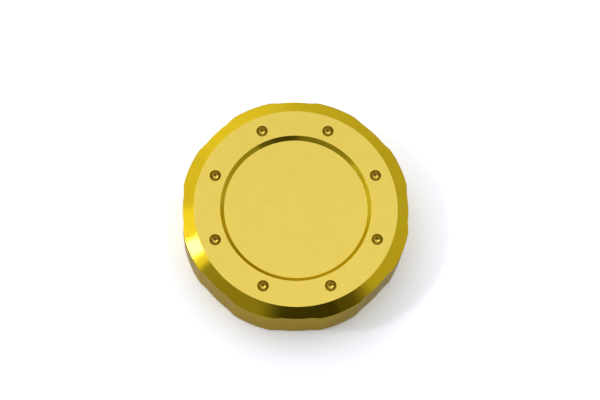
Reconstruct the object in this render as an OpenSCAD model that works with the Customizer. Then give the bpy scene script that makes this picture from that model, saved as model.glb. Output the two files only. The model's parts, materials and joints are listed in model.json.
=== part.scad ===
// Screw cap of a brake fluid reservoir.
// The cap is turned and milled from one aluminium blank. It has a bevelled top
// with a plain round recess, a ring of ball-nose dimples, and shallow grip
// scallops round its rim. Under its roof it holds a slip ring and a rubber
// diaphragm, which the reservoir's neck presses up when the cap is screwed on.
// The cap stands on its open rim: z = 0 is the rim, +Z points out of the top
// face, and the origin lies on the cap's axis. Lengths are in millimetres.

/* [Cap body] */
// Diameter at the root of the internal thread, which fits the reservoir's neck
thread_root_d = 54; // [46:0.5:64]
// Thickness of the wall between the thread's root and the scallops' floors
wall_t = 2.5; // [2:0.1:4]
// Height from the open rim to the top face
cap_h = 15.5; // [14:0.5:20]
// Width of the bevel between the flat top face and the outside wall
bevel_w = 3.45; // [2:0.05:5]
// Fall of the bevel from the top face to the outside wall
bevel_drop = 1.4; // [0.6:0.1:3]
// Radius on the turned edges
edge_r = 0.2; // [0.1:0.05:0.3]

/* [Top recess] */
// Width of the flat ring between the bevel and the recess
land_w = 6.85; // [6.4:0.05:9]
// Depth of the recess below the top face
recess_depth = 1; // [0.6:0.1:1.5]
// Lean of the recess wall from upright
recess_lean = 45; // [20:5:60]

/* [Dimples] */
// Distance of the dimples' centres from the bevel
dimple_inset = 3.85; // [2.6:0.05:4.2]
// Diameter of a dimple, whose bottom is half a ball
dimple_d = 3; // [2:0.1:3.4]
// Height of a dimple's straight wall above its half ball
dimple_wall_h = 0.05; // [0.05:0.05:0.5]

/* [Grip scallops] */
// Number of scallops round the rim, with a lobe and a dimple between each two
scallop_count = 8; // [4:1:12]
// Depth of a scallop's floor below the lobes
scallop_depth = 0.55; // [0.2:0.05:0.8]
// Width of a scallop's floor between its rising ends
scallop_floor_w = 7.6; // [5:0.2:8]
// Angle at which a scallop's ends rise to the lobes
scallop_rise = 9; // [8:1:30]

/* [Hollow] */
// Chamfer that leads the neck into the thread
lead_in = 0.8; // [0.4:0.1:1]
// Depth of the relief groove beyond the thread root
relief_depth = 0.6; // [0.3:0.1:0.8]
// Thickness of the roof under the recess
roof_t = 2; // [1.5:0.1:2.5]
// Width of the slip ring's seat, from the thread's root to the pocket
seat_w = 6.5; // [5:0.1:7.5]
// Height of that pocket above the slip ring's seat
pocket_h = 0.7; // [0.7:0.1:1.2]
// Number of vent slots cut across the slip ring's seat
vent_count = 4; // [2:1:8]
// Width of a vent slot
vent_w = 2; // [1:0.5:3]
// Depth of a vent slot
vent_depth = 0.5; // [0.3:0.1:0.6]

/* [Slip ring] */
// Clearance between the slip ring and the thread's root, to pass its ridge
ring_gap = 1.5; // [1.4:0.1:2.5]
// Thickness of the slip ring
ring_t = 1; // [0.8:0.1:1.5]

/* [Diaphragm] */
// Clearance between the diaphragm's flange and the thread's root
flange_gap = 0.3; // [0.2:0.1:1]
// Thickness of the flange
flange_t = 1.6; // [1.5:0.1:2.2]
// Height of the sealing bead under the flange
bead_h = 0.3; // [0.2:0.1:0.5]
// Thickness of the diaphragm's folded wall
fold_t = 0.8; // [0.6:0.1:0.9]
// Radius of a fold, at the middle of the wall
fold_r = 0.85; // [0.7:0.05:0.9]
// Number of folds that stand up into the pocket
fold_count = 3; // [1:1:4]
// Clearance round the folds and under the bead
fold_gap = 0.2; // [0.1:0.05:0.25]

/* [Hidden] */
gold = [0.84, 0.69, 0.18];
nylon = [0.88, 0.87, 0.82];
black_rubber = [0.12, 0.12, 0.12];
$fn = 180;
// Steps along a small rounded edge, facets of the diaphragm's small circles,
// and how far a cutter runs past a surface
edge_steps = 4;
small_fn = 48;
over = 1;
// Levels, from the top face down to the relief groove
recess_z = cap_h - recess_depth;
pocket_z = recess_z - roof_t;
seat_z = pocket_z - pocket_h;
ring_z = seat_z - ring_t;
flange_z = ring_z - flange_t;
relief_z = flange_z - bead_h - fold_gap / 2;
// Radii of the body, from the thread outwards and from the rim inwards
thread_r = thread_root_d / 2;
relief_r = thread_r + relief_depth;
pocket_r = thread_r - seat_w;
scallop_r = thread_r + wall_t;
cap_r = scallop_r + scallop_depth;
top_r = cap_r - bevel_w;
recess_r = top_r - land_w;
recess_floor_r = recess_r - recess_depth * tan(recess_lean);
// Scallops
lobe_angle = 360 / scallop_count;
floor_angle = asin(scallop_floor_w / 2 / scallop_r);
// Radius of the circle that the dimples stand on
dimple_circle_r = top_r - dimple_inset;
// Slip ring
ring_r = thread_r - ring_gap;
// Diaphragm: the outermost fold's leg, and the levels of the folds' centres
first_leg_r = pocket_r - fold_gap - fold_t / 2;
fold_high_z = pocket_z - fold_gap - fold_t / 2 - fold_r;
fold_low_z = flange_z + fold_t / 2 + fold_r;
last_leg_r = first_leg_r - (4 * fold_count - 2) * fold_r;
bead_r = (thread_r + pocket_r) / 2;

// Unit vector along v
function unit(v) = v / norm(v);

// Points that round the corner at b, between its neighbours a and c
function rounded(a, b, c, r = edge_r) =
    let (
        u = unit(a - b),
        w = unit(c - b),
        half = acos(u * w) / 2,
        centre = b + unit(u + w) * r / sin(half),
        from = atan2((b + u * r / tan(half) - centre).y, (b + u * r / tan(half) - centre).x),
        to = atan2((b + w * r / tan(half) - centre).y, (b + w * r / tan(half) - centre).x),
        turn = to - from > 180 ? to - from - 360 : to - from < -180 ? to - from + 360 : to - from,
        step = turn / edge_steps
    )
    [for (i = [0:edge_steps]) centre + r * [cos(from + i * step), sin(from + i * step)]];

// Outline of the turned blank, one side of the axis
module body_section() {
    mouth = [thread_r + lead_in, 0];
    foot = [cap_r, 0];
    shoulder = [cap_r, cap_h - bevel_drop];
    top_edge = [top_r, cap_h];
    recess_edge = [recess_r, cap_h];
    recess_foot = [recess_floor_r, recess_z];
    polygon(concat(
        [mouth],
        rounded(mouth, foot, shoulder),
        rounded(foot, shoulder, top_edge),
        rounded(shoulder, top_edge, recess_edge),
        rounded(top_edge, recess_edge, recess_foot),
        rounded(recess_edge, recess_foot, [0, recess_z]),
        [
            [0, recess_z],
            [0, pocket_z],
            [pocket_r, pocket_z],
            [pocket_r, seat_z],
            [relief_r, seat_z],
            [relief_r, relief_z + relief_depth],
            [thread_r, relief_z],
            [thread_r, lead_in]
        ]
    ));
}

// Plan of the space that one scallop takes from the rim, centred on +X: its
// floor follows the rim, and its two ends rise straight to the lobes
module scallop_plan() {
    difference() {
        polygon([
            [0, 0],
            scallop_end(1)[0],
            scallop_end(1)[1],
            [2 * cap_r, 0],
            scallop_end(-1)[1],
            scallop_end(-1)[0]
        ]);
        circle(r = scallop_r);
    }
}

// One end of a scallop: where its floor stops, and a point past the rim on the
// straight rise
function scallop_end(side) =
    let (
        out = [cos(floor_angle), side * sin(floor_angle)],
        along = [-sin(floor_angle), side * cos(floor_angle)],
        rise = sin(scallop_rise) * out + cos(scallop_rise) * along
    )
    [scallop_r * out, scallop_r * out + rise * (scallop_depth + over) / sin(scallop_rise)];

// One side of a dimple: a quarter disc, and the straight wall above it
module dimple_section() {
    intersection() {
        circle(d = dimple_d);
        translate([0, -dimple_d / 2])
            square(dimple_d / 2);
    }
    square([dimple_d / 2, dimple_wall_h + over]);
}

// The cap itself, one machined piece
module cap_body() {
    color(gold)
        difference() {
            rotate_extrude()
                body_section();
            for (i = [0:scallop_count - 1])
                rotate(i * lobe_angle)
                    translate([0, 0, -over])
                        linear_extrude(cap_h + 2 * over)
                            scallop_plan();
            for (i = [0:scallop_count - 1])
                rotate((i + 0.5) * lobe_angle)
                    translate([dimple_circle_r, 0, cap_h - dimple_wall_h])
                        rotate_extrude()
                            dimple_section();
            for (i = [0:vent_count - 1])
                rotate(i * 360 / vent_count)
                    translate([pocket_r - over, -vent_w / 2, seat_z - over])
                        cube([thread_r - pocket_r + over, vent_w, vent_depth + over]);
        }
}

// Flat ring that lets the cap turn on the diaphragm
module slip_ring() {
    inner = [[pocket_r, ring_z], [pocket_r, seat_z]];
    outer = [[ring_r, seat_z], [ring_r, ring_z]];
    color(nylon)
        rotate_extrude()
            polygon(concat(
                rounded(outer[1], inner[0], inner[1]),
                rounded(inner[0], inner[1], outer[0]),
                rounded(inner[1], outer[0], outer[1]),
                rounded(outer[0], outer[1], inner[0])
            ));
}

// Half of a fold's section: side 1 stands up and side -1 hangs down
module fold(r, z, side) {
    reach = fold_r + fold_t / 2;
    translate([r, z])
        intersection() {
            difference() {
                circle(r = reach, $fn = small_fn);
                circle(r = fold_r - fold_t / 2, $fn = small_fn);
            }
            translate([-reach, side > 0 ? 0 : -reach])
                square([2 * reach, reach]);
        }
}

// One side of the diaphragm: flange with its bead, folds and centre disc
module diaphragm_section() {
    rim_r = thread_r - flange_gap - flange_t / 2;
    translate([first_leg_r - fold_t / 2, flange_z])
        square([rim_r - first_leg_r + fold_t / 2, flange_t]);
    translate([rim_r, flange_z + flange_t / 2])
        circle(d = flange_t, $fn = small_fn);
    translate([bead_r, flange_z])
        circle(r = bead_h, $fn = small_fn);
    for (i = [0:2 * fold_count - 1])
        translate([first_leg_r - 2 * i * fold_r - fold_t / 2, fold_low_z])
            square([fold_t, fold_high_z - fold_low_z]);
    for (i = [0:fold_count - 1])
        fold(first_leg_r - (4 * i + 1) * fold_r, fold_high_z, 1);
    for (i = [0:fold_count - 2])
        fold(first_leg_r - (4 * i + 3) * fold_r, fold_low_z, -1);
    translate([last_leg_r - fold_t / 2, flange_z])
        square([fold_t, fold_low_z - flange_z]);
    translate([0, flange_z])
        square([last_leg_r, fold_t]);
}

// Rubber diaphragm, moulded in one piece
module diaphragm() {
    color(black_rubber)
        rotate_extrude()
            diaphragm_section();
}

cap_body();
slip_ring();
diaphragm();
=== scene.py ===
import json
from math import cos, pi, radians, sin, tan

import bpy
from mathutils import Matrix, Vector


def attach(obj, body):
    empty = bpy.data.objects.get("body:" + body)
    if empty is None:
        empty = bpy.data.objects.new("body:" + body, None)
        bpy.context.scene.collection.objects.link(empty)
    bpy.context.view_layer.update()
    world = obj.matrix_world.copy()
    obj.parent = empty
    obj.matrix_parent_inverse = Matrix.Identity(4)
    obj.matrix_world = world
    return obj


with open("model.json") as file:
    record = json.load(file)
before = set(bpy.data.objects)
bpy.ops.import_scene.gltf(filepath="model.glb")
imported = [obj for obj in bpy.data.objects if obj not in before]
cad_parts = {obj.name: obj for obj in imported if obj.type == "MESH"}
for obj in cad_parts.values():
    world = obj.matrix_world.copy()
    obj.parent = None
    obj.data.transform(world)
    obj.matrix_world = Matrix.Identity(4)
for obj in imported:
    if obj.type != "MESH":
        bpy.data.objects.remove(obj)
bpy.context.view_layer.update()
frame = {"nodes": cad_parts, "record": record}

MM = 0.001
WHITE = (1, 1, 1, 1)

# Camera, fitted to the photograph's circles and outline. Its angles are in degrees
CAMERA_AIM = Vector((1.08, 2.0, 15.5)) * MM
CAMERA_DISTANCE = 436.8 * MM
CAMERA_AZIMUTH = -7.566
CAMERA_ELEVATION = 73.037
CAMERA_ROLL = 7.175
CAMERA_LENS = 100.39
CAMERA_CLIP = 10 * MM


def toward(azimuth, elevation):
    """Unit vector to a place round the object: azimuth 0 is the front, and 90 the right"""
    turn, rise = radians(azimuth), radians(elevation)
    return Vector((sin(turn) * cos(rise), -cos(turn) * cos(rise), sin(rise)))


def add_camera():
    back = toward(CAMERA_AZIMUTH, CAMERA_ELEVATION)
    right = Vector((0, 0, 1)).cross(back).normalized()
    level = Matrix((right, back.cross(right), back)).transposed()
    turn = level @ Matrix.Rotation(radians(CAMERA_ROLL), 3, "Z")
    place = CAMERA_AIM + CAMERA_DISTANCE * back
    camera = bpy.data.objects.new("camera", bpy.data.cameras.new("camera"))
    camera.data.lens = CAMERA_LENS
    camera.data.clip_start = CAMERA_CLIP
    camera.matrix_world = Matrix.Translation(place) @ turn.to_4x4()
    bpy.context.scene.collection.objects.link(camera)
    bpy.context.scene.camera = camera


class Tree:
    """A short way to add and join shader nodes: add returns a node, the rest a socket"""

    def __init__(self, owner):
        owner.use_nodes = True
        self.tree = owner.node_tree
        self.tree.nodes.clear()

    def add(self, kind, inputs=(), **settings):
        node = self.tree.nodes.new(kind)
        for name, value in settings.items():
            setattr(node, name, value)
        for name, value in dict(inputs).items():
            if isinstance(value, bpy.types.NodeSocket):
                self.tree.links.new(value, node.inputs[name])
            else:
                node.inputs[name].default_value = value
        return node

    def math(self, operation, *values):
        inputs = dict(enumerate(values))
        return self.add("ShaderNodeMath", inputs, operation=operation).outputs["Value"]

    def vector(self, operation, *values, output="Vector"):
        inputs = dict(enumerate(values))
        return self.add("ShaderNodeVectorMath", inputs, operation=operation).outputs[output]

    def part(self, vector, axis):
        """One coordinate of a vector"""
        return self.add("ShaderNodeSeparateXYZ", {"Vector": vector}).outputs[axis]

    def ramp(self, value, low, high, to_low=0.0, to_high=1.0):
        """value taken smoothly from low..high to to_low..to_high"""
        inputs = {
            "Value": value,
            "From Min": low,
            "From Max": high,
            "To Min": to_low,
            "To Max": to_high,
        }
        node = self.add("ShaderNodeMapRange", inputs, interpolation_type="SMOOTHSTEP")
        return node.outputs["Result"]

    def between(self, mask, off, on):
        """A number that is off where the mask is 0, and on where it is 1"""
        return self.ramp(mask, 0.0, 1.0, off, on)

    def tint(self, mask, off, on):
        """A colour that is off where the mask is 0, and on where it is 1"""
        inputs = {"Fac": mask, "Color1": off, "Color2": on}
        return self.add("ShaderNodeMixRGB", inputs).outputs["Color"]

    def either(self, mask, off, on):
        """A shader that is off where the mask is 0, and on where it is 1"""
        return self.add("ShaderNodeMixShader", {0: mask, 1: off, 2: on}).outputs["Shader"]

    def noise(self, place, grain, detail):
        """Noise whose lumps are about grain metres wide"""
        inputs = {"Vector": place, "Scale": 1 / grain, "Detail": detail}
        return self.add("ShaderNodeTexNoise", inputs).outputs["Fac"]

    def relief(self, height, depth):
        """Normal of a surface with a fine relief of that depth in metres"""
        inputs = {"Height": height, "Distance": depth, "Strength": 1.0}
        return self.add("ShaderNodeBump", inputs).outputs["Normal"]


# Soft lights and dark fields of the studio: azimuth, elevation, radius of the
# even middle and of the outer edge in degrees, and the strength added or the
# share of the light taken away
PLAIN_LEVEL = 0.55
LIGHTS = {
    "overhead panel": (-169, 69, 32, 51, 0.38),
    "back left panel": (-160, 31, 2, 22, 0.14),
    "left panel": (-98, 50, 9, 16, 0.34),
    "zenith": (90, 83, 4, 30, 0.25),
    "low left panel": (-105, 5, 5, 30, 0.15),
    "key": (-138, 57, 6, 15, 1.1),
    "low front left panel": (-62, 11, 3, 14, 0.13),
    "small lamp": (-91.0, 48.6, 2.5, 3.8, 34.0),
}
DARKS = {
    "photographer's side": (-21, 35, 42, 45, 0.49),
    "camera": (23, 62, 13, 26, 0.82),
    "front": (19, 16, 18, 21, 0.63),
    "low right": (30, -15, 20, 80, 0.46),
    "low back": (150, -5, 15, 33, 0.40),
    "lens": (-9, 73, 9, 14.5, 0.92),
}


def patch(tree, direction, azimuth, elevation, inner, outer):
    """1 within inner degrees of a place in the studio, and 0 beyond outer degrees"""
    centre = toward(azimuth, elevation)
    along = tree.vector("DOT_PRODUCT", direction, centre, output="Value")
    return tree.ramp(along, cos(radians(outer)), cos(radians(inner)))


def light_studio():
    """The world: the object sees the lights and dark fields, and the camera sees white"""
    world = bpy.data.worlds.new("studio")
    bpy.context.scene.world = world
    tree = Tree(world)
    direction = tree.add("ShaderNodeTexCoord").outputs["Generated"]
    level = PLAIN_LEVEL
    for *field, strength in LIGHTS.values():
        level = tree.math("MULTIPLY_ADD", patch(tree, direction, *field), strength, level)
    for *field, share in DARKS.values():
        left = tree.math("MULTIPLY_ADD", patch(tree, direction, *field), -share, 1.0)
        level = tree.math("MULTIPLY", level, left)
    lit = tree.add("ShaderNodeBackground", {"Color": WHITE, "Strength": level})
    seen = tree.add("ShaderNodeBackground", {"Color": WHITE, "Strength": 1.0})
    by_camera = tree.add("ShaderNodeLightPath").outputs["Is Camera Ray"]
    surface = tree.either(by_camera, lit.outputs[0], seen.outputs[0])
    tree.add("ShaderNodeOutputWorld", {"Surface": surface})


# Floor: a flat square with a round hole under the cap, a hair below the rim
FLOOR_HOLE = 29.0 * MM
FLOOR_REACH = 1.5
FLOOR_SIDES = 96
FLOOR_DROP = 0.02 * MM
# Colours of the floor: where it throws light on the object, where the object's
# gloss shows it, and where the camera sees it. The second is darker and warmer
# than the first: painted shade, for the floor's shadow beside the cap as the
# gold walls mirror it. The last is above 1, so that the lit floor renders white
# with no more light on the object
FLOOR_LIT = (0.96, 0.98, 1.0, 1)
SHADED_FLOOR_MIRRORED = (0.52, 0.475, 0.37, 1)
FLOOR_SEEN = (1.42, 1.46, 1.58, 1)
GLOW_MIRRORED = 0.08
GLOW_SEEN = 0.10


def floor_mesh():
    ring = []
    for i in range(FLOOR_SIDES):
        angle = 2 * pi * i / FLOOR_SIDES
        ring.append((FLOOR_HOLE * cos(angle), FLOOR_HOLE * sin(angle)))
    edge = []
    for x, y in ring:
        grow = FLOOR_REACH / max(abs(x), abs(y))
        edge.append((x * grow, y * grow))
    points = [(x, y, -FLOOR_DROP) for x, y in ring + edge]
    faces = []
    for i in range(FLOOR_SIDES):
        j = (i + 1) % FLOOR_SIDES
        faces.append((i, i + FLOOR_SIDES, j + FLOOR_SIDES, j))
    mesh = bpy.data.meshes.new("floor")
    mesh.from_pydata(points, [], faces)
    return mesh


def floor_material():
    """A matt card that is clear from below, so that the underside can be seen"""
    material = bpy.data.materials.new("floor")
    tree = Tree(material)
    path = tree.add("ShaderNodeLightPath")
    mirrored = path.outputs["Is Glossy Ray"]
    seen = path.outputs["Is Camera Ray"]
    # In the object's gloss the floor takes a darker, warmer colour: painted shade
    colour = tree.tint(mirrored, FLOOR_LIT, SHADED_FLOOR_MIRRORED)
    colour = tree.tint(seen, colour, FLOOR_SEEN)
    card = tree.add("ShaderNodeBsdfDiffuse", {"Color": colour})
    strength = tree.math("MULTIPLY", seen, GLOW_SEEN)
    strength = tree.math("MULTIPLY_ADD", mirrored, GLOW_MIRRORED, strength)
    glow = tree.add("ShaderNodeEmission", {"Strength": strength})
    both = tree.add("ShaderNodeAddShader", {0: card.outputs[0], 1: glow.outputs[0]})
    clear = tree.add("ShaderNodeBsdfTransparent")
    below = tree.add("ShaderNodeNewGeometry").outputs["Backfacing"]
    surface = tree.either(below, both.outputs[0], clear.outputs[0])
    tree.add("ShaderNodeOutputMaterial", {"Surface": surface})
    return material


def add_floor():
    floor = bpy.data.objects.new("floor", floor_mesh())
    bpy.context.scene.collection.objects.link(floor)
    floor.data.materials.append(floor_material())


# Noise is used between these values, since few of its values lie beyond them
CLOUD_RANGE = (0.3, 0.7)
GRAIN_RANGE = (0.2, 0.8)
CLOUD_DETAIL = 2.0
FINE_DETAIL = 3.0

# Where the gold finish changes: each pair is where a part of it starts and where
# it is full, in metres above the rim or off the axis
TOP_LEVEL = (13.8 * MM, 13.9 * MM)
RING_INSIDE = (20.5 * MM, 20.9 * MM)
RING_OUTSIDE = (25.4 * MM, 25.0 * MM)
DIMPLE_LEVEL = (15.48 * MM, 15.4 * MM)
RECESS_EDGE = (19.9 * MM, 19.6 * MM)
# The same for how far a face is turned up, from 0 on a wall to 1 on a flat face
FLAT_FACING = (0.93, 0.99)
STEEP_FACING = (0.8, 0.45)

TURNED_GOLD = (0.80, 0.562, 0.002, 1)
RECESS_GOLD = (0.79, 0.577, 0.003, 1)
BLASTED_GOLD = (0.74, 0.565, 0.105, 1)
# The dimples' gold is darker than the blasted gold: painted shade in the hollows
DIMPLE_SHADED_GOLD = (0.62, 0.465, 0.070, 1)
GRAZED_GOLD = (1.0, 0.92, 0.4, 1)
GOLD_CLOUD = 4 * MM
GOLD_SHADE = 0.015
TURNED_ROUGHNESS = 0.065
RECESS_ROUGHNESS = 0.16
BLASTED_ROUGHNESS = 0.24
STEEP_ROUGHNESS_ADDED = 0.22
SHADE_ROUGHNESS_ADDED = 0.6
GROOVE_WIDTH = 0.12 * MM
PIT_WIDTH = 0.2 * MM
PIT_TO_GROOVE_DEPTH = 2.0
GOLD_RELIEF = 0.001 * MM
COAT_WEIGHT = 0.34
COAT_ROUGHNESS = 0.10


def gold_anodised():
    """Gold anodised aluminium: the flat top, the recess's floor and the dimples are
    bead-blasted, and the rest is bright from the tool"""
    material = bpy.data.materials.new("gold_anodised")
    tree = Tree(material)
    place = tree.add("ShaderNodeTexCoord").outputs["Object"]
    height = tree.part(place, "Z")
    radius = tree.vector("LENGTH", tree.vector("MULTIPLY", place, (1, 1, 0)), output="Value")
    facing = tree.part(tree.add("ShaderNodeNewGeometry").outputs["Normal"], "Z")

    # Masks: the top's flat faces, the ring that holds the dimples, the dimples and
    # their steep sides, and the recess with its wall
    top = tree.ramp(height, *TOP_LEVEL)
    flat = tree.math("MULTIPLY", top, tree.ramp(facing, *FLAT_FACING))
    ring = tree.math(
        "MULTIPLY", tree.ramp(radius, *RING_INSIDE), tree.ramp(radius, *RING_OUTSIDE)
    )
    ring = tree.math("MULTIPLY", top, ring)
    dimple = tree.math("MULTIPLY", ring, tree.ramp(height, *DIMPLE_LEVEL))
    steep = tree.math("MULTIPLY", dimple, tree.ramp(facing, *STEEP_FACING))
    recess = tree.math("MULTIPLY", top, tree.ramp(radius, *RECESS_EDGE))
    blasted = tree.math("MAXIMUM", flat, ring)

    # Colour, faintly clouded. The dimples get a darker gold: painted shade in their hollows
    cloud = tree.noise(place, GOLD_CLOUD, CLOUD_DETAIL)
    shade = tree.ramp(cloud, *CLOUD_RANGE, -GOLD_SHADE, GOLD_SHADE)
    colour = tree.tint(recess, TURNED_GOLD, RECESS_GOLD)
    colour = tree.tint(blasted, colour, BLASTED_GOLD)
    colour = tree.tint(dimple, colour, DIMPLE_SHADED_GOLD)
    value = tree.math("ADD", shade, 1.0)
    clouded = tree.add("ShaderNodeHueSaturation", {"Color": colour, "Value": value})

    # The recess's wall is duller than the bevel, and the cutter leaves a dimple's
    # steep side rougher than its bottom
    roughness = tree.between(recess, TURNED_ROUGHNESS, RECESS_ROUGHNESS)
    roughness = tree.between(blasted, roughness, BLASTED_ROUGHNESS)
    roughness = tree.math("MULTIPLY_ADD", steep, STEEP_ROUGHNESS_ADDED, roughness)
    roughness = tree.math("MULTIPLY_ADD", shade, SHADE_ROUGHNESS_ADDED, roughness)

    # Turning leaves grooves that run round the axis, and blasting leaves small pits
    section = tree.add("ShaderNodeCombineXYZ", {"X": radius, "Y": height}).outputs["Vector"]
    grooves = tree.noise(section, GROOVE_WIDTH, FINE_DETAIL)
    pits = tree.math("MULTIPLY", tree.noise(place, PIT_WIDTH, FINE_DETAIL), blasted)
    relief = tree.math("MULTIPLY_ADD", pits, PIT_TO_GROOVE_DEPTH, grooves)

    shader = tree.add("ShaderNodeBsdfPrincipled", {
        "Base Color": clouded.outputs["Color"],
        "Metallic": 1.0,
        "Roughness": roughness,
        "Specular Tint": GRAZED_GOLD,
        "Coat Weight": tree.between(blasted, COAT_WEIGHT, 0.0),
        "Coat Roughness": COAT_ROUGHNESS,
        "Normal": tree.relief(relief, GOLD_RELIEF),
    })
    tree.add("ShaderNodeOutputMaterial", {"Surface": shader.outputs["BSDF"]})
    return material


MOULD_CLOUD = 5 * MM
MOULD_CLOUD_DETAIL = 4.0
MOULD_GRAIN = 0.3 * MM
MOULD_ROUGHNESS_SPREAD = 0.06

NYLON_PALE = (0.76, 0.74, 0.67, 1)
NYLON_DARK = (0.70, 0.67, 0.58, 1)
NYLON_ROUGHNESS = 0.5
NYLON_RELIEF = 0.01 * MM

RUBBER_PALE = (0.042, 0.041, 0.040, 1)
RUBBER_DARK = (0.026, 0.026, 0.027, 1)
RUBBER_ROUGHNESS = 0.58
RUBBER_RELIEF = 0.03 * MM


def moulded(name, pale, dark, roughness, depth):
    """Plastic or rubber, clouded between two colours, with a moulded grain of that depth"""
    material = bpy.data.materials.new(name)
    tree = Tree(material)
    place = tree.add("ShaderNodeTexCoord").outputs["Object"]
    cloud = tree.ramp(tree.noise(place, MOULD_CLOUD, MOULD_CLOUD_DETAIL), *CLOUD_RANGE)
    grain = tree.noise(place, MOULD_GRAIN, FINE_DETAIL)
    spread = tree.ramp(grain, *GRAIN_RANGE, -MOULD_ROUGHNESS_SPREAD, MOULD_ROUGHNESS_SPREAD)
    shader = tree.add("ShaderNodeBsdfPrincipled", {
        "Base Color": tree.tint(cloud, dark, pale),
        "Roughness": tree.math("ADD", roughness, spread),
        "Normal": tree.relief(grain, depth),
    })
    tree.add("ShaderNodeOutputMaterial", {"Surface": shader.outputs["BSDF"]})
    return material


# Ridge of the internal thread. Its base lies a little inside the wall, and it
# keeps a margin at both ends of the threaded length
THREAD_PITCH = 3.0 * MM
THREAD_DEPTH = 1.3 * MM
THREAD_CREST = 0.75 * MM
THREAD_FLANK = radians(30)
THREAD_SINK = 0.05 * MM
THREAD_MARGIN = 0.1 * MM
# Size of the crest's rounded corner, and where the middle of its curve lies: how
# far below the crest and how far in from the flank, as shares of that size
THREAD_CORNER = 0.15 * MM
CORNER_BELOW = 0.3
CORNER_IN = 0.1
# Steps in one turn, the run-out at either end in turns, and the ridge's least
# height there, as a share of the full height
THREAD_STEPS = 96
THREAD_RUN_OUT = 0.2
THREAD_LEAST = 0.02
SHARP_FROM = radians(35)


def thread_section(height):
    """Section of the ridge at a share of its full height: depth inward and place along
    the axis"""
    depth = THREAD_DEPTH * height
    crest = THREAD_CREST / 2 * height
    corner = THREAD_CORNER * height
    half = [
        (-THREAD_SINK, crest + depth * tan(THREAD_FLANK)),
        (depth - corner, crest + corner * tan(THREAD_FLANK)),
        (depth - CORNER_BELOW * corner, crest - CORNER_IN * corner),
        (depth, crest - corner),
    ]
    return half + [(d, -a) for d, a in reversed(half)]


def thread_mesh(root, middle, length):
    """The ridge, wound on a wall of radius root along a length about a middle height"""
    half_base = THREAD_CREST / 2 + THREAD_DEPTH * tan(THREAD_FLANK)
    half_rise = length / 2 - half_base - THREAD_MARGIN
    turns = 2 * half_rise / THREAD_PITCH
    steps = round(turns * THREAD_STEPS)
    points = []
    for i in range(steps + 1):
        turn = turns * i / steps
        run = min(1, turn / THREAD_RUN_OUT, (turns - turn) / THREAD_RUN_OUT)
        height = max(THREAD_LEAST, sin(pi / 2 * run))
        angle = 2 * pi * turn
        start = middle - half_rise + turn * THREAD_PITCH
        for depth, along in thread_section(height):
            radius = root - depth
            points.append((cos(angle) * radius, sin(angle) * radius, start + along))
    size = len(thread_section(1))
    first_end = tuple(range(size))
    last_end = tuple(range(steps * size, (steps + 1) * size))[::-1]
    faces = [first_end, last_end]
    for i in range(steps):
        for k in range(size):
            a = i * size + k
            b = i * size + (k + 1) % size
            faces.append((a, a + size, b + size, b))
    mesh = bpy.data.meshes.new("thread")
    mesh.from_pydata(points, [], faces)
    mesh.shade_smooth()
    mesh.set_sharp_from_angle(angle=SHARP_FROM)
    return mesh


def add_thread(material):
    mount = next(m for m in frame["record"]["mounts"] if m["name"] == "reservoir_thread")
    size = mount["dims"]
    mesh = thread_mesh(size["r_mm"] * MM, mount["pos_m"][2], size["length_mm"] * MM)
    mesh.materials.append(material)
    thread = bpy.data.objects.new("thread", mesh)
    bpy.context.scene.collection.objects.link(thread)
    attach(thread, "root")


add_camera()
light_studio()
add_floor()

gold = gold_anodised()
nylon = moulded("nylon", NYLON_PALE, NYLON_DARK, NYLON_ROUGHNESS, NYLON_RELIEF)
rubber = moulded("rubber", RUBBER_PALE, RUBBER_DARK, RUBBER_ROUGHNESS, RUBBER_RELIEF)
for node, material in (("cap_body", gold), ("slip_ring", nylon), ("diaphragm", rubber)):
    slots = frame["nodes"][node].data.materials
    slots.clear()
    slots.append(material)
add_thread(gold)

bpy.context.scene.view_settings.view_transform = "Standard"
